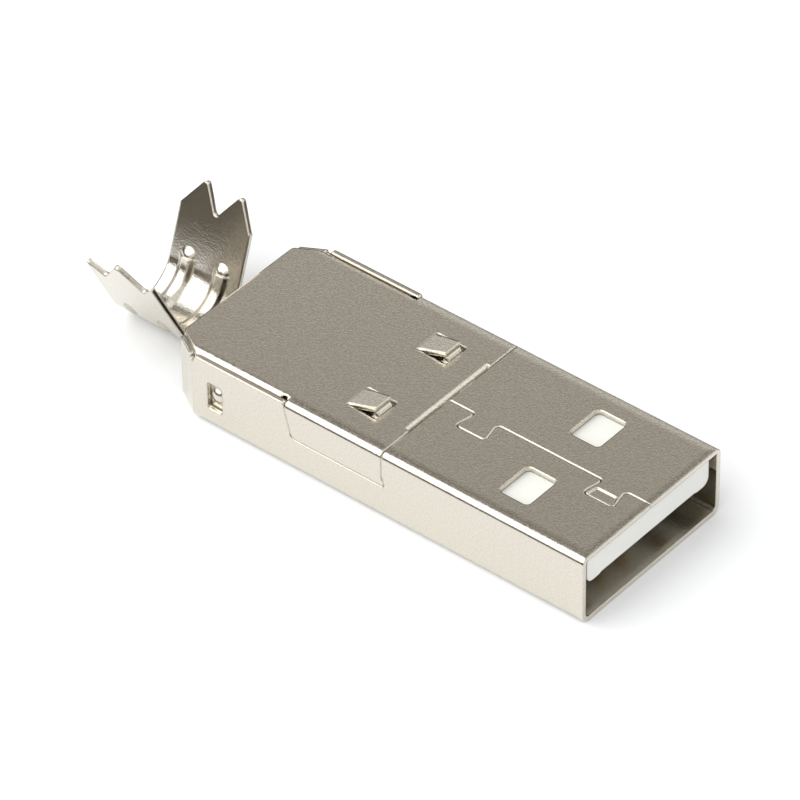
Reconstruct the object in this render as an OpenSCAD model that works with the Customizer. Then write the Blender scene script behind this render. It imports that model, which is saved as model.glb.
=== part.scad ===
// USB-A cable plug: a folded sheet shell with a snap-on cover, an insulator and four contacts.
// X = 0 is the mating face and +X the mating direction, Z = 0 the flat underside, Y = 0 the middle.

/* [Sheet metal] */
// Thickness of the plated steel sheet of the shell and the cover
sheet_t = 0.3; // [0.25:0.01:0.34]
// Width of the shell over its side walls
shell_w = 12; // [11.8:0.1:12.6]
// Height of the shell from its underside to its top face
shell_h = 4.6; // [4.4:0.05:5]
// Outer radius of the folded edges along the top
top_bend_r = 0.42; // [0.38:0.02:0.56]
// Outer radius of the folded edges along the bottom
bottom_bend_r = 0.65; // [0.45:0.05:0.85]
// Small corner radius that the blanking tool leaves
edge_break = 0.1; // [0.06:0.02:0.12]

/* [Mating tube] */
// Length of the closed tube, from the mating face to the cover
tube_len = 13.88; // [13.4:0.02:14.4]
// Length of a locking window along the plug
window_len = 2.05; // [1.6:0.05:2.2]
// Width of a locking window across the plug
window_w = 2.6; // [2.2:0.1:2.8]
// Distance from the mating face to the front edge of the windows
window_x = 5.05; // [4.8:0.05:5.4]
// Distance between the middles of the two windows of a face
window_pitch = 6.1; // [5.8:0.05:6.4]
// Corner radius of the windows
window_r = 0.3; // [0.1:0.05:0.4]

/* [Top seam] */
// Sideways place of the seam, from the middle of the plug
seam_y = -0.15; // [-0.4:0.05:0.4]
// Gap between the two halves of the sheet where they meet on top
seam_gap = 0.05; // [0.03:0.01:0.08]
// How far a dovetail tab reaches across the seam
tab_len = 1.45; // [1.1:0.05:1.6]
// Width of a dovetail tab at its neck
tab_neck_w = 1.5; // [1.3:0.05:1.6]
// Width of a dovetail tab at its head
tab_head_w = 2.1; // [1.9:0.05:2.3]
// Distance from the mating face to the middle of the front tab
front_tab_x = 2.45; // [2.2:0.05:2.8]
// Distance from the mating face to the middle of the rear tab
rear_tab_x = 11.25; // [10.6:0.05:11.6]
// Corner radius at the heads and necks of the tabs
tab_r = 0.24; // [0.1:0.02:0.3]
// Depth of the coined patch on the front tab
coin_depth = 0.06; // [0.03:0.01:0.1]
// Width of the coined patch across the plug
coin_w = 0.7; // [0.5:0.05:0.8]
// Margin between the coined patch and the tab's outline
coin_margin = 0.08; // [0.05:0.01:0.12]
// How far the coined patch's rear corner is set back
coin_slant = 0.22; // [0.1:0.02:0.3]

/* [Rear tray] */
// Distance from the mating face to the rear end of the side walls
tray_end = 28.95; // [28.6:0.05:29.4]
// Height of the top edge of the rear side walls
wall_top = 4.56; // [4.3:0.02:4.58]
// Distance from the mating face to where the side walls turn inwards
corner_x = 27.4; // [27.1:0.05:27.6]
// Angle by which the corner walls turn inwards
corner_angle = 30; // [22:1:36]
// Width of the relief slot where the side wall turns inwards
relief_w = 0.3; // [0.24:0.02:0.4]
// Height of the lower end of the relief slot
relief_z = 4.2; // [4.05:0.05:4.3]
// Height of the top edge of the corner walls
corner_top = 4.44; // [4.35:0.01:4.5]
// Corner radius of the wall's top corners
wall_corner_r = 0.28; // [0.1:0.02:0.3]
// Distance from the mating face to the middle of the latch windows in the side walls
latch_x = 25.8; // [25.5:0.05:26]
// Height of the middle of the latch windows
latch_z = 2.25; // [2.1:0.05:2.4]
// Length of a latch window along the plug
latch_len = 1.1; // [1:0.05:1.3]
// Height of a latch window
latch_h = 1.85; // [1.6:0.05:2]
// Corner radius of a latch window
latch_r = 0.22; // [0.1:0.02:0.3]

/* [Cover] */
// Distance from the mating face to the rear edge of the cover
cover_end = 29.1; // [28.9:0.05:29.4]
// Distance from the mating face to the rear end of the outer flaps, at the top
flap_rear_top_x = 20.75; // [20.5:0.05:21]
// Distance from the mating face to the rear end of the outer flaps, at the bottom
flap_rear_bottom_x = 20.25; // [20:0.05:20.45]
// Height of the lower edge of the outer flaps
flap_z = 2.36; // [2:0.02:2.6]
// How far the foot of an outer flap reaches forwards under the tube
flap_foot = 0.16; // [0.1:0.02:0.2]
// Height of the foot of an outer flap
flap_foot_h = 0.62; // [0.5:0.02:0.8]
// Rounding where an outer flap's foot meets the tube's edge
foot_r = 0.2; // [0.1:0.02:0.24]
// Corner radius at the rear foot of the outer flaps
flap_r = 0.4; // [0.1:0.05:0.5]
// Distance from an outer flap's rear end to the middle of the relief behind it
relief_setback = 0.35; // [0.25:0.05:0.4]
// Radius of the relief behind an outer flap
bend_relief_r = 0.2; // [0.14:0.02:0.24]
// Corner radius at the cover's rear edge
cover_corner_r = 0.35; // [0.2:0.05:0.5]
// Height of the lower edge of the inner flaps
inner_flap_z = 1.05; // [0.9:0.05:1.2]
// Distance from the mating face to the rear end of the inner flaps
inner_flap_end = 26.9; // [26.7:0.05:27]
// Width of the sunken lip at the front of the cover
lip_w = 7; // [6:0.1:8]
// How far the lip reaches forwards under the tube
lip_len = 0.9; // [0.6:0.05:1.1]
// Length of the slope that sinks the lip
lip_slope = 0.3; // [0.2:0.02:0.4]
// How far a snap nub stands out of an inner flap
nub_h = 0.24; // [0.15:0.01:0.28]
// Base radius of a snap nub
nub_r = 0.5; // [0.4:0.01:0.5]

/* [Raised lances] */
// Distance from the mating face to the open front of a lance
lance_x = 16.15; // [15.6:0.05:16.3]
// Length of a lance along the plug
lance_len = 1.85; // [1.6:0.05:2.4]
// Height of a lance's front edge above the cover
lance_h = 0.52; // [0.35:0.01:0.7]
// Width of a lance at its root
lance_root_w = 1.62; // [1.5:0.02:1.8]
// Width of a lance at its raised front edge
lance_front_w = 1.26; // [1:0.02:1.4]
// Distance between the middles of the two lances
lance_pitch = 6; // [5.6:0.1:6.6]
// Gap around a lance in the cover
lance_gap = 0.08; // [0.05:0.01:0.1]
// Gap in the cover before a lance's front edge
lance_mouth = 0.24; // [0.1:0.02:0.3]
// Corner radius of the opening under a lance
lance_r = 0.15; // [0.08:0.01:0.2]

/* [Crimp barrel] */
// Inner radius of the crimp barrel's trough
crimp_r = 2.45; // [2.35:0.05:2.6]
// Length of the crimp barrel along the cable
crimp_len = 5.1; // [4.6:0.1:5.6]
// Distance from the mating face to the front edge of the crimp barrel
crimp_x = 31.25; // [31:0.05:31.8]
// Outward lean of the forked wing from upright
fork_lean = 19.5; // [12:0.5:26]
// Outward lean of the pointed wing from upright
point_lean = 26.5; // [20:0.5:32]
// Length of the forked wing's straight side edges
fork_side = 3.35; // [3:0.05:3.8]
// Length of the forked wing to its two tips
fork_tip = 5.35; // [4.8:0.05:5.8]
// Length of the pointed wing to the middle of its outer corners
point_side = 5; // [4.6:0.05:5.4]
// Length of the pointed wing to its notches
point_notch = 3.95; // [3.6:0.05:4.3]
// Length of the pointed wing to its middle tip
point_tip = 6.15; // [5.6:0.05:6.6]
// How much longer the pointed wing is at its front corner than at its rear corner
point_skew = 0.8; // [0:0.05:1]
// Place of each fork tip, as a share of its half of the wing
fork_share = 0.42; // [0.36:0.01:0.5]
// Place of the pointed wing's front notch, as a share of the wing
front_notch_share = 0.21; // [0.16:0.01:0.25]
// Place of the pointed wing's middle tip, as a share of the wing
tip_share = 0.46; // [0.42:0.01:0.54]
// Place of the pointed wing's rear notch, as a share of the wing
rear_notch_share = 0.8; // [0.75:0.01:0.84]
// Rounding of the wings' tips and notches
wing_r = 0.2; // [0.1:0.02:0.26]
// Distance between the two grip ridges inside the barrel
ridge_pitch = 2.5; // [2.2:0.1:2.8]
// Width of a grip ridge at its foot
ridge_w = 1.1; // [0.9:0.05:1.2]
// Width of a grip ridge's crest
ridge_crest_w = 0.5; // [0.4:0.05:0.6]
// Height of a grip ridge
ridge_h = 0.25; // [0.15:0.01:0.28]
// Angle from the bottom to where a grip ridge ends on the forked wing
ridge_fork_angle = 80; // [66:1:82]
// Angle from the bottom to where a grip ridge ends on the pointed wing
ridge_point_angle = 72; // [60:1:74]
// Size of a ridge's domed end, as a share of the ridge's own height and width
dome_share = 0.88; // [0.8:0.01:0.9]
// Width of the neck where it meets the barrel
neck_w = 2.6; // [2.4:0.1:3]
// Width of the neck where it leaves the tray
neck_root_w = 5; // [4:0.1:6]
// Place where the neck reaches its width, as a share of its length
neck_share = 0.45; // [0.35:0.01:0.6]
// Rounding of the neck's outline
neck_r = 0.8; // [0.4:0.1:1]

/* [Insulator] */
// Thickness of the tongue
tongue_t = 1.84; // [1.7:0.02:1.95]
// Gap between the tongue and the tube's side walls
tongue_side_gap = 0.4; // [0.2:0.05:0.7]
// Distance from the mating face to the front of the tongue
tongue_x = 0.25; // [0.15:0.05:0.5]
// Width of the rail along each side of the tongue's underside
rail_w = 1.1; // [0.9:0.05:1.2]
// Height of the rails
rail_h = 0.08; // [0.05:0.01:0.15]
// Corner radius of the tongue
tongue_r = 0.5; // [0.2:0.05:0.6]
// Distance from the mating face to the front of the body block
block_x = 11.9; // [11.75:0.05:12.4]
// Distance from the mating face to the rear of the body block
block_end = 18.6; // [18.2:0.1:19.4]
// Distance from the mating face to the rear of the solder deck
deck_end = 23.4; // [22.8:0.1:24]
// Gap between the solder deck and the side walls
deck_side_gap = 0.8; // [0.6:0.05:0.9]
// Room behind the cover's sunken lip in the body block
pocket_room = 0.3; // [0.1:0.05:0.5]
// Height of the ribs between the solder tails
rib_h = 0.7; // [0.4:0.05:1]
// Width of the ribs between the solder tails
rib_w = 0.3; // [0.2:0.02:0.36]

/* [Contacts] */
// Thickness of a contact
contact_t = 0.25; // [0.2:0.01:0.3]
// Width of a contact on the tongue
contact_w = 1; // [0.8:0.05:1.1]
// How far a contact stands out of the tongue's underside
contact_proud = 0.03; // [0.01:0.01:0.05]
// Distance between the two outer contacts
outer_pitch = 7; // [6.8:0.1:7.2]
// Distance between the two inner contacts
inner_pitch = 2; // [1.9:0.05:2.1]
// Distance from the mating face to the nose of an outer contact
outer_nose_x = 1.3; // [1.1:0.05:1.5]
// Distance from the mating face to the nose of an inner contact
inner_nose_x = 2.3; // [2.1:0.05:2.6]
// Height of a contact's upturned nose
nose_h = 0.9; // [0.7:0.05:1.1]
// Outer bend radius of a contact's nose
nose_r = 0.32; // [0.31:0.01:0.4]
// Rounding of the nose's upper corners
nose_edge_r = 0.06; // [0.04:0.01:0.08]
// Gap between the body block and the solder cups
cup_gap = 0.4; // [0.2:0.05:0.6]
// Distance from the mating face to the end of the solder cups
cup_end = 23; // [22.4:0.1:23.4]
// Outer radius of a solder cup
cup_r = 0.75; // [0.65:0.01:0.78]

/* [Fits] */
// Clearance around the insulator inside the shell
body_fit = 0.03; // [0.02:0.01:0.05]
// Clearance between the cover's inner flaps and lip and the shell
cover_fit = 0.03; // [0.02:0.01:0.05]
// Gap along the edges where the cover and the shell lie flush
edge_gap = 0.05; // [0.04:0.01:0.08]
// Clearance around a contact in the insulator
contact_fit = 0.02; // [0.01:0.01:0.04]

/* [Hidden] */
$fn = 96;
arc_steps = 7;
big = 4 * shell_w;
over = 3 * sheet_t;
lap = sheet_t / 3;
least_r = sheet_t / 8;
half_w = shell_w / 2;
sheet_colour = [0.79, 0.77, 0.72];
resin_colour = [0.95, 0.95, 0.93];
gold_colour = [0.83, 0.67, 0.34];
rear_channel_w = shell_w - 2 * (sheet_t + cover_fit);
cover_front_x = tube_len + edge_gap;
bend_relief_x = flap_rear_top_x + relief_setback;
crimp_z = crimp_r + sheet_t;
crimp_mid_x = crimp_x + crimp_len / 2;
tongue_w = shell_w - 2 * (sheet_t + tongue_side_gap);
deck_w = shell_w - 2 * (sheet_t + deck_side_gap);
tongue_top = shell_h - sheet_t - body_fit;
tongue_bottom = tongue_top - tongue_t;
contact_z = tongue_bottom - contact_proud;
lip_top = shell_h - sheet_t - cover_fit;
cup_len = cup_end - block_end - cup_gap;

// ---------- shared geometry ----------

function unit(v) = v / norm(v);

// Points of the arc of radius r that rounds corner p between its neighbours a and b.
function corner_arc(a, p, b, r) =
  let (u = unit(a - p))
  let (v = unit(b - p))
  let (half = acos(max(-1, min(1, u * v))) / 2)
  let (room = 0.48 * min(norm(a - p), norm(b - p)))
  let (reach = min(r / tan(half), room))
  let (true_r = reach * tan(half))
  let (c = p + unit(u + v) * true_r / sin(half))
  let (s = p + u * reach - c)
  let (e = p + v * reach - c)
  let (from = atan2(s.y, s.x))
  let (turn = (atan2(e.y, e.x) - from + 540) % 360 - 180)
  [for (k = [0:arc_steps]) c + true_r * [cos(from + turn * k / arc_steps), sin(from + turn * k / arc_steps)]];

// Outline with each corner rounded by its own radius; a radius of 0 keeps the corner sharp.
function rounded(pts, radii) = [
  for (i = [0:len(pts) - 1])
    let (a = pts[(i + len(pts) - 1) % len(pts)])
    let (b = pts[(i + 1) % len(pts)])
    each (radii[i] > 0 ? corner_arc(a, pts[i], b, radii[i]) : [pts[i]])
];

function flip_x(pts) = [for (p = pts) [-p.x, p.y]];

// A section drawn in Y and Z, run along X between two distances behind the mating face.
module along_x(front, rear) {
  translate([-rear, 0, 0]) rotate([90, 0, 90]) linear_extrude(rear - front) children();
}

// A profile drawn in X and Z, run across the plug between two Y positions.
module along_y(from_y, to_y) {
  translate([0, to_y, 0]) rotate([90, 0, 0]) linear_extrude(to_y - from_y) children();
}

// A plan outline drawn in X and Y, run upwards.
module upright(from_z, to_z) {
  translate([0, 0, from_z]) linear_extrude(to_z - from_z) children();
}

module both_sides() {
  children();
  mirror([0, 1, 0]) children();
}

// Box section standing on Z = 0, with true arcs along its top and bottom corners.
module bend_box(w, h, r_top, r_bottom) {
  translate([-w / 2, r_bottom]) square([w, h - r_bottom - r_top]);
  translate([-w / 2 + r_bottom, 0]) square([w - 2 * r_bottom, r_bottom]);
  translate([-w / 2 + r_top, h - r_top]) square([w - 2 * r_top, r_top]);
  for (side = [-1, 1]) {
    translate([side * (w / 2 - r_bottom), r_bottom]) circle(r_bottom);
    translate([side * (w / 2 - r_top), h - r_top]) circle(r_top);
  }
}

// The shell's box section drawn in by a distance, so its arcs stay concentric.
module shell_section(inset) {
  r_top = max(top_bend_r - inset, least_r);
  r_bottom = max(bottom_bend_r - inset, least_r);
  translate([0, inset]) bend_box(shell_w - 2 * inset, shell_h - 2 * inset, r_top, r_bottom);
}

// ---------- main shell ----------

module tube() {
  along_x(0, tube_len) difference() {
    shell_section(0);
    shell_section(sheet_t);
  }
}

// One half-plane prism whose lower outer edge is rounded like the shell's bottom fold.
module corner_prism(inset) {
  r = bottom_bend_r - inset;
  translate([-corner_x, half_w, 0]) rotate([0, 0, corner_angle]) along_x(-big, big) {
    translate([-big - inset, inset + r]) square([big, big]);
    translate([-big - inset, inset]) square([big - r, big]);
    translate([-inset - r, inset + r]) circle(r);
  }
}

// The open-topped tray form behind the tube, drawn in by a distance.
module tray_form(inset, rear) {
  intersection() {
    along_x(tube_len, rear) {
      shell_section(inset);
      translate([-half_w + inset, shell_h / 2]) square([shell_w - 2 * inset, shell_h]);
    }
    corner_prism(inset);
    mirror([0, 1, 0]) corner_prism(inset);
  }
}

module tray() {
  difference() {
    tray_form(0, tray_end);
    tray_form(sheet_t, tray_end + over);
  }
}

// Everything above the side walls' top edge, with the relief slot and the cut-out for the flap.
module above_walls() {
  slot_rear = corner_x + relief_w / 2;
  slot_front = corner_x - relief_w / 2;
  pts = [
    [tray_end + over, corner_top], [slot_rear, corner_top],
    [slot_rear, relief_z], [slot_front, relief_z],
    [slot_front, wall_top], [flap_rear_top_x + edge_gap, wall_top],
    [flap_rear_top_x + edge_gap, shell_h - top_bend_r], [flap_rear_bottom_x + edge_gap, flap_z - edge_gap],
    [tube_len - flap_foot, flap_z - edge_gap], [tube_len - flap_foot, flap_z + flap_foot_h / 2],
    [tube_len, flap_z + flap_foot_h], [tube_len, 3 * shell_h], [tray_end + over, 3 * shell_h]
  ];
  r = relief_w / 2;
  radii = [
    0, edge_break, r, r, wall_corner_r, wall_corner_r, flap_r,
    flap_r + edge_gap, edge_break, foot_r, foot_r, 0, 0
  ];
  along_y(-big, big) polygon(flip_x(rounded(pts, radii)));
}

// The far half of the tube's top with its two dovetail tabs, grown by a distance.
module far_half(grow) {
  neck = tab_neck_w / 2 + grow;
  head = tab_head_w / 2 + grow;
  foot = -tab_len - grow;
  f = front_tab_x;
  b = rear_tab_x;
  pts = [
    [-over, half_w], [-over, -grow],
    [f - neck, -grow], [f - head, foot], [f + head, foot], [f + neck, -grow],
    [b - neck, -grow], [b - head, foot], [b + head, foot], [b + neck, -grow],
    [tube_len + over, -grow], [tube_len + over, half_w]
  ];
  radii = [0, 0, tab_r, tab_r, tab_r, tab_r, tab_r, tab_r, tab_r, tab_r, 0, 0];
  polygon(flip_x(rounded(pts, radii)));
}

module seam() {
  translate([0, seam_y, 0]) upright(shell_h / 2, 2 * shell_h) difference() {
    far_half(seam_gap / 2);
    far_half(-seam_gap / 2);
  }
}

// Shallow patch struck into the front tab to lock it.
module coined_patch() {
  neck = tab_neck_w / 2 - coin_margin;
  head = tab_head_w / 2 - coin_margin;
  y_end = -tab_len + coin_margin;
  r = edge_break;
  pts = [
    [front_tab_x - neck, y_end + coin_w], [front_tab_x - head, y_end],
    [front_tab_x + head - coin_slant, y_end], [front_tab_x + neck, y_end + coin_w]
  ];
  translate([0, seam_y, 0]) upright(shell_h - coin_depth, 2 * shell_h)
    polygon(flip_x(rounded(pts, [r, r, r, r])));
}

module locking_windows() {
  corners = [
    [window_x, -window_w / 2], [window_x + window_len, -window_w / 2],
    [window_x + window_len, window_w / 2], [window_x, window_w / 2]
  ];
  for (side = [-1, 1]) translate([0, side * window_pitch / 2, 0]) upright(-over, 2 * shell_h)
    polygon(flip_x(rounded(corners, [window_r, window_r, window_r, window_r])));
}

module latch_windows() {
  front = latch_x - latch_len / 2;
  rear = latch_x + latch_len / 2;
  low = latch_z - latch_h / 2;
  high = latch_z + latch_h / 2;
  corners = [[front, low], [rear, low], [rear, high], [front, high]];
  along_y(-big, big) polygon(flip_x(rounded(corners, [latch_r, latch_r, latch_r, latch_r])));
}

// Inside of the barrel, grown by a distance: the round trough and the space between the wings.
module barrel_space(grow, wing) {
  r = crimp_r + grow;
  fork = [r * cos(fork_lean), crimp_z - r * sin(fork_lean)];
  point = [-r * cos(point_lean), crimp_z - r * sin(point_lean)];
  translate([0, crimp_z]) circle(r);
  polygon([
    [0, crimp_z - r / 2], fork, fork + wing * [sin(fork_lean), cos(fork_lean)],
    point + wing * [-sin(point_lean), cos(point_lean)], point
  ]);
}

// Lays a plan outline, X along the cable and Y up the wing, onto a leaning wing and cuts through it.
module on_wing(lean) {
  foot_r = crimp_r + sheet_t / 2;
  translate([0, foot_r * cos(lean), crimp_z - foot_r * sin(lean)]) rotate([90 - lean, 0, 0])
    linear_extrude(4 * sheet_t, center = true) children();
}

// Waste beyond the forked end.
module fork_waste() {
  w = crimp_len;
  tip_x = fork_share * w / 2;
  pts = [
    [-over, 3 * fork_tip], [-over, fork_side], [0, fork_side], [tip_x, fork_tip], [w / 2, fork_side],
    [w / 2 + tip_x, fork_tip], [w, fork_side], [w + over, fork_side], [w + over, 3 * fork_tip]
  ];
  radii = [0, 0, wing_r, wing_r, wing_r, wing_r, wing_r, 0, 0];
  translate([-crimp_x, 0]) polygon(flip_x(rounded(pts, radii)));
}

// Waste beyond the pointed end, whose tip and notches match the fork.
module point_waste() {
  w = crimp_len;
  front_side = point_side + point_skew / 2;
  rear_side = point_side - point_skew / 2;
  front_notch = point_notch + point_skew * (0.5 - front_notch_share);
  rear_notch = point_notch + point_skew * (0.5 - rear_notch_share);
  pts = [
    [-over, 3 * point_tip], [-over, front_side], [0, front_side],
    [front_notch_share * w, front_notch], [tip_share * w, point_tip], [rear_notch_share * w, rear_notch],
    [w, rear_side], [w + over, rear_side], [w + over, 3 * point_tip]
  ];
  radii = [0, 0, wing_r, wing_r, wing_r, wing_r, wing_r, 0, 0];
  translate([-crimp_x, 0]) polygon(flip_x(rounded(pts, radii)));
}

// Flat-crested ridge around the barrel's axis with a domed end on each wing; inset thins it to the
// groove that the same press leaves in the outer face.
module ridge_form(x, inset) {
  crest_r = crimp_r - ridge_h + inset;
  foot_r = crimp_r + inset;
  rim_r = crimp_r + 2 * sheet_t;
  foot = (ridge_w - inset) / 2;
  crest = (ridge_crest_w - inset / 2) / 2;
  dome_h = dome_share * ridge_h;
  dome_w = dome_share * ridge_w;
  dome_r = (dome_w * dome_w / 4 + dome_h * dome_h) / (2 * dome_h);
  translate([-x, 0, crimp_z]) rotate([0, 90, 0]) {
    rotate([0, 0, -ridge_point_angle]) rotate_extrude(angle = ridge_point_angle + ridge_fork_angle)
      polygon([
        [crest_r, -crest], [foot_r, -foot], [rim_r, -foot], [rim_r, foot], [foot_r, foot],
        [crest_r, crest]
      ]);
    for (end = [-ridge_point_angle, ridge_fork_angle]) rotate([0, 0, end])
      translate([crimp_r - dome_h + dome_r, 0, 0]) sphere(dome_r - inset);
  }
}

module crimp_barrel() {
  wing = 2 * max(fork_tip, point_tip);
  front_ridge = crimp_mid_x - ridge_pitch / 2;
  rear_ridge = crimp_mid_x + ridge_pitch / 2;
  rear = crimp_x + crimp_len;
  difference() {
    union() {
      along_x(crimp_x, rear) difference() {
        barrel_space(sheet_t, wing);
        barrel_space(0, wing + sheet_t);
      }
      intersection() {
        union() {
          ridge_form(front_ridge, 0);
          ridge_form(rear_ridge, 0);
        }
        along_x(crimp_x, rear) barrel_space(sheet_t / 2, wing);
      }
    }
    ridge_form(front_ridge, sheet_t);
    ridge_form(rear_ridge, sheet_t);
    on_wing(fork_lean) fork_waste();
    mirror([0, 1, 0]) on_wing(point_lean) point_waste();
  }
}

// Flat neck between the tray's floor and the barrel's trough, with flared roots.
module neck() {
  waist_x = tray_end + neck_share * (crimp_x - tray_end);
  pts = [
    [tray_end - over, -neck_root_w / 2], [tray_end, -neck_root_w / 2], [waist_x, -neck_w / 2],
    [crimp_x + sheet_t, -neck_w / 2], [crimp_x + sheet_t, neck_w / 2], [waist_x, neck_w / 2],
    [tray_end, neck_root_w / 2], [tray_end - over, neck_root_w / 2]
  ];
  upright(0, sheet_t) polygon(flip_x(rounded(pts, [0, neck_r, neck_r, 0, 0, neck_r, neck_r, 0])));
}

module main_shell() {
  color(sheet_colour) difference() {
    union() {
      tube();
      tray();
      neck();
      crimp_barrel();
    }
    above_walls();
    seam();
    coined_patch();
    locking_windows();
    latch_windows();
  }
}

// ---------- top cover ----------

// Channel section that opens downwards under the cover's top face.
module channel(w) {
  r_in = max(top_bend_r - sheet_t, least_r);
  difference() {
    translate([0, -shell_h]) bend_box(w, 2 * shell_h, top_bend_r, top_bend_r);
    translate([0, -2 * shell_h]) bend_box(w - 2 * sheet_t, 3 * shell_h - sheet_t, r_in, r_in);
  }
}

// Side view of the front part: the top face and the outer flaps.
module front_profile() {
  pts = [
    [flap_rear_top_x, 2 * shell_h], [flap_rear_top_x, shell_h - top_bend_r],
    [flap_rear_bottom_x, flap_z],
    [cover_front_x - flap_foot, flap_z], [cover_front_x - flap_foot, flap_z + flap_foot_h / 2],
    [cover_front_x, flap_z + flap_foot_h], [cover_front_x, 2 * shell_h]
  ];
  polygon(flip_x(rounded(pts, [0, flap_r, flap_r, edge_break, foot_r, foot_r, 0])));
}

// Side view of the rear part: the top face and the inner flaps.
module rear_profile() {
  plate_z = shell_h - sheet_t;
  flap_front = bend_relief_x + bend_relief_r;
  pts = [
    [cover_end, 2 * shell_h], [cover_end, plate_z], [inner_flap_end, plate_z],
    [inner_flap_end, inner_flap_z], [flap_front, inner_flap_z], [flap_front, plate_z],
    [flap_rear_top_x, plate_z], [flap_rear_top_x, 2 * shell_h]
  ];
  polygon(flip_x(rounded(pts, [0, 0, edge_break, flap_r, flap_r, edge_break, 0, 0])));
}

// Plan of the cover with its two clipped rear corners, clear of the tray's corner walls.
module cover_plan() {
  start_x = corner_x - (sheet_t + cover_fit) / sin(corner_angle);
  rear_y = half_w - (cover_end - start_x) * tan(corner_angle);
  pts = [
    [cover_end, -rear_y], [start_x, -half_w], [cover_front_x, -half_w],
    [cover_front_x, half_w], [start_x, half_w], [cover_end, rear_y]
  ];
  polygon(flip_x(rounded(pts, [cover_corner_r, 0, 0, 0, 0, cover_corner_r])));
}

// Sunken lip that hooks under the tube's rear edge.
module lip() {
  root = cover_front_x + lip_slope;
  bottom = lip_top - sheet_t;
  pts = [
    [root + lap, shell_h], [root, shell_h], [cover_front_x, lip_top],
    [cover_front_x - lip_len, lip_top], [cover_front_x - lip_len, bottom],
    [cover_front_x + lap, bottom], [root + lap, shell_h - sheet_t]
  ];
  along_y(-lip_w / 2, lip_w / 2) polygon(flip_x(pts));
}

// Waste above the lip's slope.
module lip_waste() {
  root = cover_front_x + lip_slope;
  pts = [
    [root, shell_h], [cover_front_x, lip_top], [cover_front_x - over, lip_top],
    [cover_front_x - over, 2 * shell_h], [root, 2 * shell_h]
  ];
  along_y(-lip_w / 2, lip_w / 2) polygon(flip_x(pts));
}

// Opening sheared in the cover for one lance.
module lance_opening() {
  half = lance_root_w / 2 + lance_gap;
  front = lance_x - lance_mouth;
  root = lance_x + lance_len;
  pts = [[front, -half], [root, -half], [root, half], [front, half]];
  upright(shell_h - 2 * sheet_t, 2 * shell_h) polygon(flip_x(rounded(pts, [lance_r, 0, 0, lance_r])));
}

// One raised lance: a tongue of sheet that climbs forwards and narrows to an open front.
module lance() {
  rise = atan(lance_h / lance_len);
  root = lance_x + lance_len;
  tilt_t = sheet_t / cos(rise);
  plan = [
    [lance_x, -lance_front_w / 2], [root, -lance_root_w / 2], [root + lap, -lance_root_w / 2],
    [root + lap, lance_root_w / 2], [root, lance_root_w / 2], [lance_x, lance_front_w / 2]
  ];
  side = [
    [root + lap, shell_h], [root, shell_h], [lance_x, shell_h + lance_h],
    [lance_x, shell_h + lance_h - tilt_t], [root, shell_h - sheet_t], [root + lap, shell_h - sheet_t]
  ];
  intersection() {
    upright(0, 2 * shell_h) polygon(flip_x(plan));
    along_y(-lance_root_w, lance_root_w) polygon(flip_x(side));
  }
}

// Snap nub on an inner flap: a shallow cap that fills the latch window.
module snap_nub() {
  ball_r = (nub_r * nub_r + nub_h * nub_h) / (2 * nub_h);
  face_y = rear_channel_w / 2;
  intersection() {
    translate([-latch_x, face_y - ball_r + nub_h, latch_z]) sphere(ball_r);
    translate([-latch_x, face_y - sheet_t / 2, latch_z]) rotate([-90, 0, 0])
      cylinder(h = 2 * sheet_t, r = nub_r);
  }
}

module top_cover() {
  color(sheet_colour) difference() {
    union() {
      difference() {
        union() {
          intersection() {
            along_x(cover_front_x - over, flap_rear_top_x) channel(shell_w);
            along_y(-big, big) front_profile();
          }
          intersection() {
            along_x(flap_rear_top_x, cover_end) channel(rear_channel_w);
            along_y(-big, big) rear_profile();
            upright(-big, big) cover_plan();
          }
        }
        lip_waste();
        for (side = [-1, 1]) translate([0, side * lance_pitch / 2, 0]) lance_opening();
      }
      lip();
      for (side = [-1, 1]) translate([0, side * lance_pitch / 2, 0]) lance();
      both_sides() snap_nub();
    }
    both_sides() translate([-bend_relief_x, half_w - top_bend_r, shell_h / 2])
      cylinder(h = shell_h, r = bend_relief_r);
  }
}

// ---------- insulator and contacts ----------

// Section of the tongue with a low rail along each lower edge.
module tongue_section() {
  half = tongue_w / 2;
  inner = half - rail_w;
  low = tongue_bottom - rail_h;
  pts = [
    [-half, tongue_top], [-half, low], [-inner, low], [-inner + rail_h, tongue_bottom],
    [inner - rail_h, tongue_bottom], [inner, low], [half, low], [half, tongue_top]
  ];
  e = edge_break;
  polygon(rounded(pts, [e, tongue_r, e, e, e, e, tongue_r, e]));
}

// One contact's side view, grown by a distance for its slot in the insulator.
module contact_profile(nose_x, grow) {
  z0 = contact_z - grow;
  z1 = contact_z + contact_t + grow;
  top = contact_z + nose_h + grow;
  back = nose_x + contact_t + grow;
  pts = [
    [cup_end, z0], [nose_x - grow, z0], [nose_x - grow, top], [back, top], [back, z1], [cup_end, z1]
  ];
  inner_r = nose_r - contact_t;
  polygon(flip_x(rounded(pts, [0, nose_r, nose_edge_r, nose_edge_r, inner_r, 0])));
}

module contact(y, nose_x) {
  cup_z = contact_z + cup_r;
  color(gold_colour) translate([0, y, 0]) {
    along_y(-contact_w / 2, contact_w / 2) contact_profile(nose_x, 0);
    along_x(cup_end - cup_len, cup_end) difference() {
      translate([0, cup_z]) circle(cup_r);
      translate([0, cup_z]) circle(cup_r - contact_t);
      translate([-cup_r, cup_z]) square([2 * cup_r, 2 * cup_r]);
    }
  }
}

module contact_slot(y, nose_x) {
  half = contact_w / 2 + contact_fit;
  translate([0, y, 0]) {
    along_y(-half, half) contact_profile(nose_x, contact_fit);
    along_x(nose_x - contact_fit, block_x)
      translate([-half, contact_z - contact_t]) square([2 * half, 2 * contact_t]);
  }
}

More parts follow.
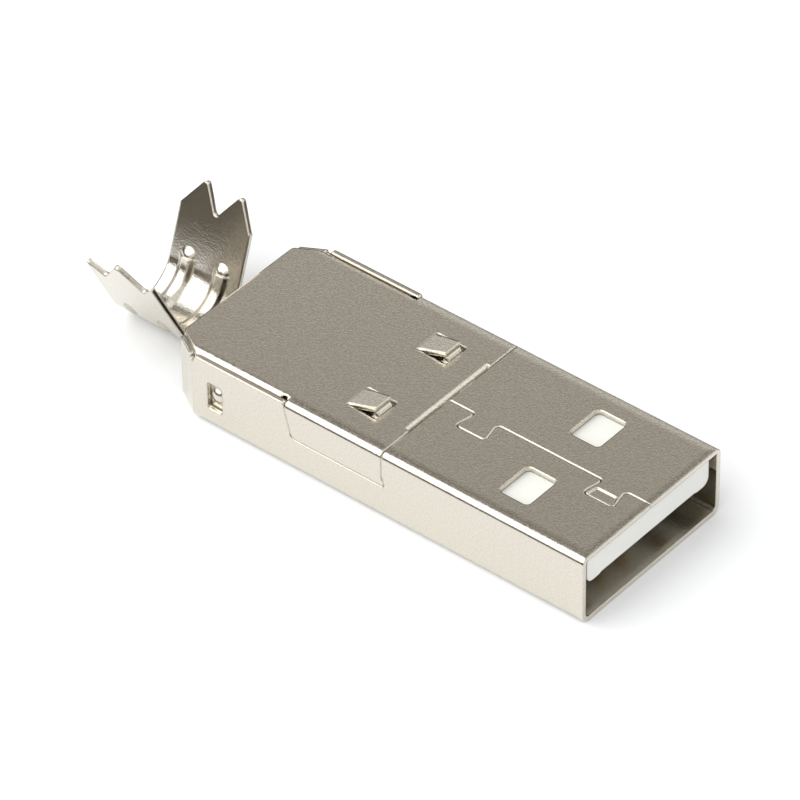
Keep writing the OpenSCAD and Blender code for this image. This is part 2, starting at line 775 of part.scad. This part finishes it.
module insulator() {
  block_inset = sheet_t + body_fit;
  pocket_z = lip_top - sheet_t - cover_fit;
  pocket_half = lip_w / 2 + cover_fit;
  rib_ys = [-(outer_pitch + inner_pitch) / 4, 0, (outer_pitch + inner_pitch) / 4];
  color(resin_colour) difference() {
    union() {
      along_x(tongue_x, block_x + lap) tongue_section();
      along_x(block_x, block_end) shell_section(block_inset);
      translate([-deck_end, -deck_w / 2, block_inset])
        cube([deck_end - block_end, deck_w, contact_z - contact_fit - block_inset]);
      for (y = rib_ys) translate([-deck_end, y - rib_w / 2, contact_z - sheet_t])
        cube([deck_end - block_end, rib_w, rib_h + sheet_t]);
    }
    translate([-cover_front_x - lip_slope - pocket_room, -pocket_half, pocket_z])
      cube([lip_len + lip_slope + 2 * pocket_room, 2 * pocket_half, shell_h]);
    contact_slot(-outer_pitch / 2, outer_nose_x);
    contact_slot(outer_pitch / 2, outer_nose_x);
    contact_slot(-inner_pitch / 2, inner_nose_x);
    contact_slot(inner_pitch / 2, inner_nose_x);
  }
}

module contact_vbus() {
  contact(-outer_pitch / 2, outer_nose_x);
}

module contact_data_minus() {
  contact(-inner_pitch / 2, inner_nose_x);
}

module contact_data_plus() {
  contact(inner_pitch / 2, inner_nose_x);
}

module contact_ground() {
  contact(outer_pitch / 2, outer_nose_x);
}

main_shell();
top_cover();
insulator();
contact_vbus();
contact_data_minus();
contact_data_plus();
contact_ground();
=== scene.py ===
import math
import bpy
from mathutils import Matrix, Vector


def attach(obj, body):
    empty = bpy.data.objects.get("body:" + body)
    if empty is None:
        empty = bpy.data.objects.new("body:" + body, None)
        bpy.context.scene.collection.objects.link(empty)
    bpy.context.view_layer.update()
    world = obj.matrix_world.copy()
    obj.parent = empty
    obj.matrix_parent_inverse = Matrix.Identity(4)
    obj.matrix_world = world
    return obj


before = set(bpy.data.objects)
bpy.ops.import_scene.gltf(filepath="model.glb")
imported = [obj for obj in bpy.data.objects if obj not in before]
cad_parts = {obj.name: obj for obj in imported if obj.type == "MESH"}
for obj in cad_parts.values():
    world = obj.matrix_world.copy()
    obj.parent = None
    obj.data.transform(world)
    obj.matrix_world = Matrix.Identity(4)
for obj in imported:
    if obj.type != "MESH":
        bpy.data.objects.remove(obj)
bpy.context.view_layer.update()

print("frame loaded:", len(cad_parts), "nodes")

mm = 0.001


def toLinear(hexColour):
    # sRGB hex to the linear values that a shader takes
    parts = [int(hexColour[i:i + 2], 16) / 255 for i in (1, 3, 5)]
    return tuple(c / 12.92 if c <= 0.04045 else ((c + 0.055) / 1.055) ** 2.4 for c in parts) + (1.0,)


def addNode(tree, kind, settings, inputs):
    # settings are the node's own options; inputs holds a value or an output socket for each input
    node = tree.nodes.new(kind)
    for name, value in settings.items():
        setattr(node, name, value)
    for key, value in inputs.items():
        if isinstance(value, bpy.types.NodeSocket):
            tree.links.new(value, node.inputs[key])
        else:
            node.inputs[key].default_value = value
    return node


def newMaterial(name):
    made = bpy.data.materials.new(name)
    made.use_nodes = True
    return made, made.node_tree, made.node_tree.nodes["Principled BSDF"]


def wayTo(azimuth, elevation):
    # unit vector from an azimuth, from +X towards +Y, and an elevation in degrees
    a, e = math.radians(azimuth), math.radians(elevation)
    return Vector((math.cos(a) * math.cos(e), math.sin(a) * math.cos(e), math.sin(e)))


# camera: stands before the mouth and to the left, and looks down on the top face
camera = {
    "lookAt": (-0.015552, -0.002328, 0.005141),
    "azimuth": 40.0186,           # degrees from -Y towards +X
    "elevation": 40.0533,
    "roll": -0.7777,
    "distance": 0.353052,
    "lens": 292.44,
    "sensor": 36.0,
    "clip": (0.01, 20),
}

toCamera = wayTo(camera["azimuth"] - 90, camera["elevation"])
levelRight = wayTo(camera["azimuth"], 0)
levelUp = toCamera.cross(levelRight)
tilt = math.radians(camera["roll"])
cameraRight = levelRight * math.cos(tilt) + levelUp * math.sin(tilt)
cameraUp = levelUp * math.cos(tilt) - levelRight * math.sin(tilt)
cameraData = bpy.data.cameras.new("studioCamera")
cameraData.lens = camera["lens"]
cameraData.sensor_width = camera["sensor"]
cameraData.clip_start, cameraData.clip_end = camera["clip"]
cameraObject = bpy.data.objects.new("studioCamera", cameraData)
cameraTurn = Matrix((cameraRight, cameraUp, toCamera)).transposed().to_4x4()
cameraPlace = Vector(camera["lookAt"]) + toCamera * camera["distance"]
cameraObject.matrix_world = Matrix.Translation(cameraPlace) @ cameraTurn
bpy.context.scene.collection.objects.link(cameraObject)
bpy.context.scene.camera = cameraObject
print("camera placed")

# light tent: azimuth from +X towards +Y and elevation in degrees, lengths in metres
studio = {
    "clothColour": "#fffefb",     # the tent's cloth, lit from outside on all sides
    "clothRadiance": 0.9,
    "lamp": {"azimuth": 236, "elevation": 44, "distance": 0.5, "size": (0.8, 0.62),
             "colour": "#fffefc", "radiance": 1.75},
    # cards that show in reflections only
    "cards": {
        "greyCard": {"azimuth": 128.5, "elevation": 40.7, "distance": 0.30, "size": (0.16, 0.098),
                     "colour": "#fff9f1", "radiance": 0.465},
        "whiteCard": {"azimuth": 68, "elevation": 40, "distance": 0.5, "size": (0.40, 0.5),
                      "colour": "#fffefc", "radiance": 1.5},
        "blackCard": {"azimuth": 128.5, "elevation": 46.5, "distance": 0.31, "size": (0.23, 0.19),
                      "colour": "#fff4e4", "radiance": 0.13},
    },
    # dark table round the white floor, with the tent's hem: its hole lies close round the plug
    "skirt": {"middle": (-0.018, 0), "hole": (0.032, 0.019), "outer": 0.6, "rim": 0.14, "steps": 96,
              "lift": 0.0002,     # above the floor, so that the two never flicker
              "colour": "#fff2de", "radiance": 0.15},
    "floor": {"size": 3.0, "height": -0.00002, "colour": "#f2f4f7", "roughness": 0.9,
              "clumps": 900.0,    # fibre clumps across the floor, drawn coarser than real ones to show at all
              "detail": 3.0, "evenness": (0.985, 1.0)},
}

bpy.context.scene.view_settings.view_transform = "Standard"

world = bpy.data.worlds.new("tentCloth")
bpy.context.scene.world = world
world.use_nodes = True
cloth = world.node_tree.nodes["Background"]
cloth.inputs["Color"].default_value = toLinear(studio["clothColour"])
cloth.inputs["Strength"].default_value = studio["clothRadiance"]


def hangUp(thing, place):
    # puts a lamp or a card at its place, facing the plug
    way = wayTo(place["azimuth"], place["elevation"])
    thing.location = way * place["distance"]
    thing.rotation_mode = "QUATERNION"
    thing.rotation_quaternion = way.to_track_quat("Z", "Y")


def addReflected(name, corners, faces, look):
    # evenly lit cloth that only reflections show
    lit, tree, shader = newMaterial(name)
    tree.nodes.remove(shader)
    shine = addNode(tree, "ShaderNodeEmission", {}, {"Color": toLinear(look["colour"]), "Strength": look["radiance"]})
    tree.links.new(shine.outputs["Emission"], tree.nodes["Material Output"].inputs["Surface"])
    mesh = bpy.data.meshes.new(name)
    mesh.from_pydata(corners, [], faces)
    mesh.materials.append(lit)
    thing = bpy.data.objects.new(name, mesh)
    bpy.context.scene.collection.objects.link(thing)
    thing.visible_camera = thing.visible_diffuse = thing.visible_shadow = thing.visible_transmission = False
    return thing


def rectangle(width, height):
    w, h = width / 2, height / 2
    return [(-w, -h, 0), (w, -h, 0), (w, h, 0), (-w, h, 0)], [(0, 1, 2, 3)]


lampData = bpy.data.lights.new("sideLamp", "AREA")
lampData.shape = "RECTANGLE"
lampData.size, lampData.size_y = studio["lamp"]["size"]
lampData.color = toLinear(studio["lamp"]["colour"])[:3]
lampData.energy = studio["lamp"]["radiance"] * math.pi * lampData.size * lampData.size_y
lamp = bpy.data.objects.new("sideLamp", lampData)
lamp.visible_camera = False
bpy.context.scene.collection.objects.link(lamp)
hangUp(lamp, studio["lamp"])

for name, card in studio["cards"].items():
    hangUp(addReflected(name, *rectangle(*card["size"]), card), card)

skirt = studio["skirt"]
corners, faces = [], []
for i in range(skirt["steps"]):
    c, s = (turn(2 * math.pi * i / skirt["steps"]) for turn in (math.cos, math.sin))
    j = (i + 1) % skirt["steps"]
    corners += [(skirt["hole"][0] * c, skirt["hole"][1] * s, 0)]
    corners += [(skirt["outer"] * c, skirt["outer"] * s, z) for z in (0, skirt["rim"])]
    faces += [(3 * i + k, 3 * i + 1 + k, 3 * j + 1 + k, 3 * j + k) for k in (0, 1)]
addReflected("tableSkirt", corners, faces, skirt).location = (*skirt["middle"], skirt["lift"])

# matt white paper, calendered: its fibres make the white very slightly uneven
paper = studio["floor"]
floorMesh = bpy.data.meshes.new("studioFloor")
corners, faces = rectangle(paper["size"], paper["size"])
floorMesh.from_pydata(corners, [], faces)
floor = bpy.data.objects.new("studioFloor", floorMesh)
floor.location.z = paper["height"]
bpy.context.scene.collection.objects.link(floor)
floorPaper, tree, shader = newMaterial("calendered matt white paper")
fibre = addNode(tree, "ShaderNodeTexNoise", {}, {"Scale": paper["clumps"], "Detail": paper["detail"]})
tint = addNode(tree, "ShaderNodeMapRange", {},
               {"Value": fibre.outputs["Fac"], "To Min": paper["evenness"][0], "To Max": paper["evenness"][1]})
paperColour = addNode(tree, "ShaderNodeMix", {"data_type": "RGBA", "blend_type": "MULTIPLY"},
                      {0: 1.0, 6: toLinear(paper["colour"]), 7: tint.outputs["Result"]})
tree.links.new(paperColour.outputs[2], shader.inputs["Base Color"])
shader.inputs["Roughness"].default_value = paper["roughness"]
floorMesh.materials.append(floorPaper)
print("light tent and floor made")


def dress(node, material):
    # the CAD node keeps its mesh and takes the better material in each of its slots
    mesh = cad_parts[node].data
    if not mesh.materials:
        mesh.materials.append(material)
    for i in range(len(mesh.materials)):
        mesh.materials[i] = material


# shell and cover: lengths in mm
plating = {
    "colour": "#dbd6cb",          # nickel
    "shade": "#d1cbbf",           # painted shade: a darker colour in the grain's pits
    "shadeSpan": (0.38, 0.58),    # grain heights between which the shade gives way to the colour
    "roughness": (0.17, 0.09),    # in the pits, on the peaks
    "grainSize": 0.12,            # pits that barrel tumbling leaves
    "grainDepth": 0.018,
    "grainDetail": 3.0,
    "grainRoughness": 0.6,
    "wallGrain": 0.05,            # share of that depth on walls, which the bending tool has burnished
    "wallSpan": (0.3, 0.9),       # upward part of the normal, from wall to flat top
    "crimpStart": (29.0, 30.0),   # behind this the sheet keeps more of its grain on every side
    "crimpGrain": 0.55,
    "edgeRoll": 0.15,             # radius that blanking and tumbling leave on every edge
    "edgeTurn": 2.0,              # how far an edge turns over, where 1 stops half way
    "edgeSamples": 12,
    "mouthRoll": 0.07,            # the mouth's edges are sharper
    "mouthReach": (0.35, 0.6),    # distances from the mating face over which the radii change places
    "bendRoll": 0.3,              # radius of the easy bend at a lance's root
    "bendReach": (0.4, 1.1),      # distances from the root's middle over which that bend fades
    "bendPlace": (18.0, 3.0, 4.6),  # that middle: from the mating face, the middle plane and the floor
    "crownDrop": 0.034,           # how far the flat top falls before a fold or the mouth
    "crownCurve": 2.0,            # 2 lets the fall start gently
    "crownSide": (5.1, 5.56),     # distances from the middle plane where that fall starts and stops
    "crownFront": (0.5, 0.1),     # distances from the mating face
}


def nickelPlate(name, values):
    # satin nickel plate on tumbled sheet: soft grey mirror, fine pitted grain, rolled edges that catch the lamp
    made, tree, shader = newMaterial(name)
    shader.inputs["Metallic"].default_value = 1.0
    place = addNode(tree, "ShaderNodeTexCoord", {}, {}).outputs["Object"]
    grain = addNode(tree, "ShaderNodeTexNoise", {},
                    {"Vector": place, "Scale": 1 / (values["grainSize"] * mm),
                     "Detail": values["grainDetail"], "Roughness": values["grainRoughness"]}).outputs["Fac"]
    # painted shade: the grain's low values, its pits, take the darker shade colour
    colour = addNode(tree, "ShaderNodeValToRGB", {}, {"Fac": grain})
    for step, position, tone in zip(colour.color_ramp.elements, values["shadeSpan"], ("shade", "colour")):
        step.position, step.color = position, toLinear(values[tone])
    tree.links.new(colour.outputs["Color"], shader.inputs["Base Color"])
    rough = addNode(tree, "ShaderNodeMapRange", {},
                    {"Value": grain, "To Min": values["roughness"][0], "To Max": values["roughness"][1]})
    tree.links.new(rough.outputs["Result"], shader.inputs["Roughness"])

    # radius of the rolled edge: easier at the lance roots, sharper at the mouth
    mirrored = addNode(tree, "ShaderNodeVectorMath", {"operation": "ABSOLUTE"}, {0: place}).outputs["Vector"]
    away = addNode(tree, "ShaderNodeVectorMath", {"operation": "DISTANCE"},
                   {0: mirrored, 1: [c * mm for c in values["bendPlace"]]})
    easier = addNode(tree, "ShaderNodeMapRange", {"interpolation_type": "SMOOTHSTEP"},
                     {"Value": away.outputs["Value"],
                      "From Min": values["bendReach"][0] * mm, "From Max": values["bendReach"][1] * mm,
                      "To Min": values["bendRoll"] * mm, "To Max": values["edgeRoll"] * mm})
    split = addNode(tree, "ShaderNodeSeparateXYZ", {}, {"Vector": mirrored}).outputs
    sharper = addNode(tree, "ShaderNodeMapRange", {},
                      {"Value": split["X"],
                       "From Min": values["mouthReach"][0] * mm, "From Max": values["mouthReach"][1] * mm,
                       "To Min": values["mouthRoll"] * mm, "To Max": values["bendRoll"] * mm})
    radius = addNode(tree, "ShaderNodeMath", {"operation": "MINIMUM"},
                     {0: easier.outputs["Result"], 1: sharper.outputs["Result"]})

    # the bevel stops half way round an edge, so its turn from the plain normal is taken further
    halfRolled = addNode(tree, "ShaderNodeBevel", {"samples": values["edgeSamples"]},
                         {"Radius": radius.outputs["Value"]}).outputs["Normal"]
    plain = addNode(tree, "ShaderNodeNewGeometry", {}, {}).outputs["Normal"]
    turned = addNode(tree, "ShaderNodeVectorMath", {"operation": "SUBTRACT"}, {0: halfRolled, 1: plain})
    further = addNode(tree, "ShaderNodeVectorMath", {"operation": "MULTIPLY_ADD"},
                      {0: turned.outputs["Vector"], 1: (values["edgeTurn"],) * 3, 2: plain})
    rolled = addNode(tree, "ShaderNodeVectorMath", {"operation": "NORMALIZE"},
                     {0: further.outputs["Vector"]}).outputs["Vector"]

    # slight fall of the flat top before the folds and the mouth
    side, front = (addNode(tree, "ShaderNodeMapRange", {},
                           {"Value": split[axis], "From Min": values[reach][0] * mm, "From Max": values[reach][1] * mm})
                   for axis, reach in (("Y", "crownSide"), ("X", "crownFront")))
    fall = addNode(tree, "ShaderNodeMath", {"operation": "MAXIMUM"},
                   {0: side.outputs["Result"], 1: front.outputs["Result"]})
    curve = addNode(tree, "ShaderNodeMath", {"operation": "POWER"},
                    {0: fall.outputs["Value"], 1: values["crownCurve"]})
    crown = addNode(tree, "ShaderNodeBump", {"invert": True},
                    {"Distance": values["crownDrop"] * mm, "Height": curve.outputs["Value"], "Normal": rolled})

    # grain: full on the flat top, more than the walls' share on the crimp
    upward = addNode(tree, "ShaderNodeSeparateXYZ", {}, {"Vector": rolled}).outputs["Z"]
    level = addNode(tree, "ShaderNodeMapRange", {},
                    {"Value": upward, "From Min": values["wallSpan"][0], "From Max": values["wallSpan"][1],
                     "To Min": values["wallGrain"], "To Max": 1.0})
    crimp = addNode(tree, "ShaderNodeMapRange", {},
                    {"Value": split["X"], "To Max": values["crimpGrain"],
                     "From Min": values["crimpStart"][0] * mm, "From Max": values["crimpStart"][1] * mm})
    strength = addNode(tree, "ShaderNodeMath", {"operation": "MAXIMUM"},
                       {0: level.outputs["Result"], 1: crimp.outputs["Result"]})
    bump = addNode(tree, "ShaderNodeBump", {},
                   {"Strength": strength.outputs["Value"], "Distance": values["grainDepth"] * mm,
                    "Height": grain, "Normal": crown.outputs["Normal"]})
    tree.links.new(bump.outputs["Normal"], shader.inputs["Normal"])
    return made


dress("main_shell", nickelPlate("barrel-tumbled satin nickel plate, shell", plating))
coverPlate = nickelPlate("barrel-tumbled satin nickel plate, cover", plating)
dress("top_cover", coverPlate)

# formed step that closes the front of each lance: lengths in mm, outlines as (x, z)
lanceStep = {
    "pitch": 6.0,
    "sill": {"halfWidth": 0.8, "outline": ((-15.95, 4.34), (-15.95, 4.41), (-17.8, 4.41), (-17.8, 4.34))},
    "lip": {"halfWidth": 0.6,
            "outline": ((-15.95, 4.41), (-15.95, 4.56), (-16.13, 4.79), (-16.3, 4.75), (-16.45, 4.41))},
}

for side, sideName in ((-1, "Near"), (1, "Far")):
    corners, faces = [], []
    for part in ("sill", "lip"):
        outline, halfWidth = lanceStep[part]["outline"], lanceStep[part]["halfWidth"]
        middle = side * lanceStep["pitch"] / 2
        first, count = len(corners), len(outline)
        for y in (middle - halfWidth, middle + halfWidth):
            corners += [(x * mm, y * mm, z * mm) for x, z in outline]
        faces += [tuple(first + i for i in range(count))]
        faces += [tuple(first + count + i for i in reversed(range(count)))]
        for i in range(count):
            j = (i + 1) % count
            faces += [(first + j, first + i, first + count + i, first + count + j)]
    stepMesh = bpy.data.meshes.new("lanceStep" + sideName)
    stepMesh.from_pydata(corners, [], faces)
    stepMesh.materials.append(coverPlate)
    step = bpy.data.objects.new("lanceStep" + sideName, stepMesh)
    bpy.context.scene.collection.objects.link(step)
    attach(step, "root")
print("sheet metal dressed")

# insulator: lengths in mm
resin = {
    "colour": "#e3e4e0",
    "ior": 1.57,
    "roughness": (0.4, 0.53),
    "grainSize": 0.12,            # spark-eroded mould finish
    "grainDepth": 0.0015,
    "grainDetail": 2.0,
    "edgeRoll": 0.08,
    "edgeSamples": 6,
}

# injection-moulded polyester: soft sheen from a lightly sparked mould, so highlights stay broad
moulding, tree, shader = newMaterial("injection-moulded white polyester")
place = addNode(tree, "ShaderNodeTexCoord", {}, {}).outputs["Object"]
spark = addNode(tree, "ShaderNodeTexNoise", {},
                {"Vector": place, "Scale": 1 / (resin["grainSize"] * mm),
                 "Detail": resin["grainDetail"]}).outputs["Fac"]
shader.inputs["Base Color"].default_value = toLinear(resin["colour"])
shader.inputs["IOR"].default_value = resin["ior"]
rough = addNode(tree, "ShaderNodeMapRange", {},
                {"Value": spark, "To Min": resin["roughness"][0], "To Max": resin["roughness"][1]})
tree.links.new(rough.outputs["Result"], shader.inputs["Roughness"])
roll = addNode(tree, "ShaderNodeBevel", {"samples": resin["edgeSamples"]}, {"Radius": resin["edgeRoll"] * mm})
bump = addNode(tree, "ShaderNodeBump", {},
               {"Distance": resin["grainDepth"] * mm, "Height": spark, "Normal": roll.outputs["Normal"]})
tree.links.new(bump.outputs["Normal"], shader.inputs["Normal"])
dress("insulator", moulding)
print("insulator dressed")

# contacts: lengths in mm
contacts = {
    "colour": "#e6c27a",
    "roughness": (0.22, 0.34),
    "lineSize": 0.08,             # rolling lines, across the strip
    "lineStretch": 0.12,          # share of that frequency along the strip
    "lineDetail": 2.0,
}

# stamped bronze strip, gold flashed: fine rolling lines along the strip stretch the highlight
gilding, tree, shader = newMaterial("gold flash on stamped bronze strip")
shader.inputs["Metallic"].default_value = 1.0
place = addNode(tree, "ShaderNodeTexCoord", {}, {}).outputs["Object"]
drawn = addNode(tree, "ShaderNodeMapping", {}, {"Vector": place, "Scale": (contacts["lineStretch"], 1, 1)})
lines = addNode(tree, "ShaderNodeTexNoise", {},
                {"Vector": drawn.outputs["Vector"], "Scale": 1 / (contacts["lineSize"] * mm),
                 "Detail": contacts["lineDetail"]})
shader.inputs["Base Color"].default_value = toLinear(contacts["colour"])
rough = addNode(tree, "ShaderNodeMapRange", {},
                {"Value": lines.outputs["Fac"],
                 "To Min": contacts["roughness"][0], "To Max": contacts["roughness"][1]})
tree.links.new(rough.outputs["Result"], shader.inputs["Roughness"])
for node in ("contact_vbus", "contact_data_minus", "contact_data_plus", "contact_ground"):
    dress(node, gilding)
print("contacts dressed")
